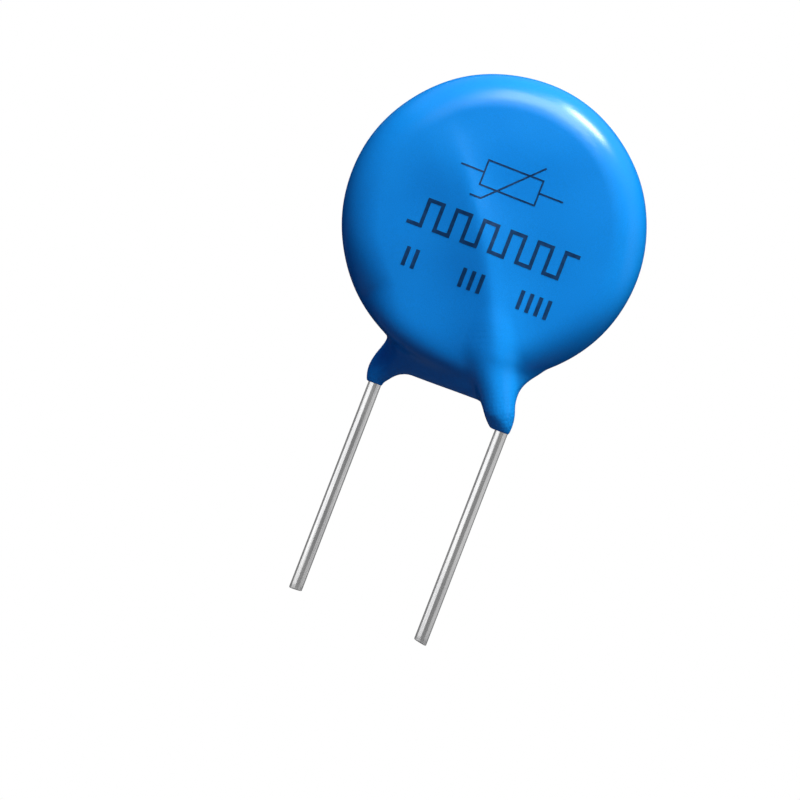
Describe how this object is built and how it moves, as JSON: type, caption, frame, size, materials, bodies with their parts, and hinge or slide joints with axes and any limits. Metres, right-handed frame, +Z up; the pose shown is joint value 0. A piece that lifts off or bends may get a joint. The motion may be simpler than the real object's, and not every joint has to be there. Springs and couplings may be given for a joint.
{
  "type": "metal oxide varistor",
  "caption": "Disc varistor for through-hole boards: a zinc oxide disc with soldered wires across its faces, in a dipped blue epoxy coat with two straight leads.",
  "frame": {"origin": "midway between the axes of the two leads, on the seat where the legs of the coat end", "axes": "+Z up along the leads, towards the disc; the leads point along -Z; +X along the disc's width, towards the front lead; -Y out of the front face"},
  "size_m": [0.009, 0.003, 0.0167],
  "materials": {
    "zinc_oxide": "sintered, fine matt grain, grey-green",
    "fired_silver": "screened and fired, matt white silver",
    "tinned_wire": "bright drawn wire with a tin coat, fine streaks along it",
    "solder": "tin solder, satin, slightly grainy",
    "blue_epoxy": "cured dip coat, smooth gloss, mid blue",
    "marking_ink": "thin baked ink on the front of the coat, dark blue, satin"
  },
  "bodies": {
    "root": {"zinc_oxide_disc": "zinc_oxide", "front_electrode": "fired_silver", "rear_electrode": "fired_silver", "front_lead": "tinned_wire", "rear_lead": "tinned_wire", "front_solder": "solder", "rear_solder": "solder", "epoxy_coat": "blue_epoxy"}
  },
  "joints": []
}
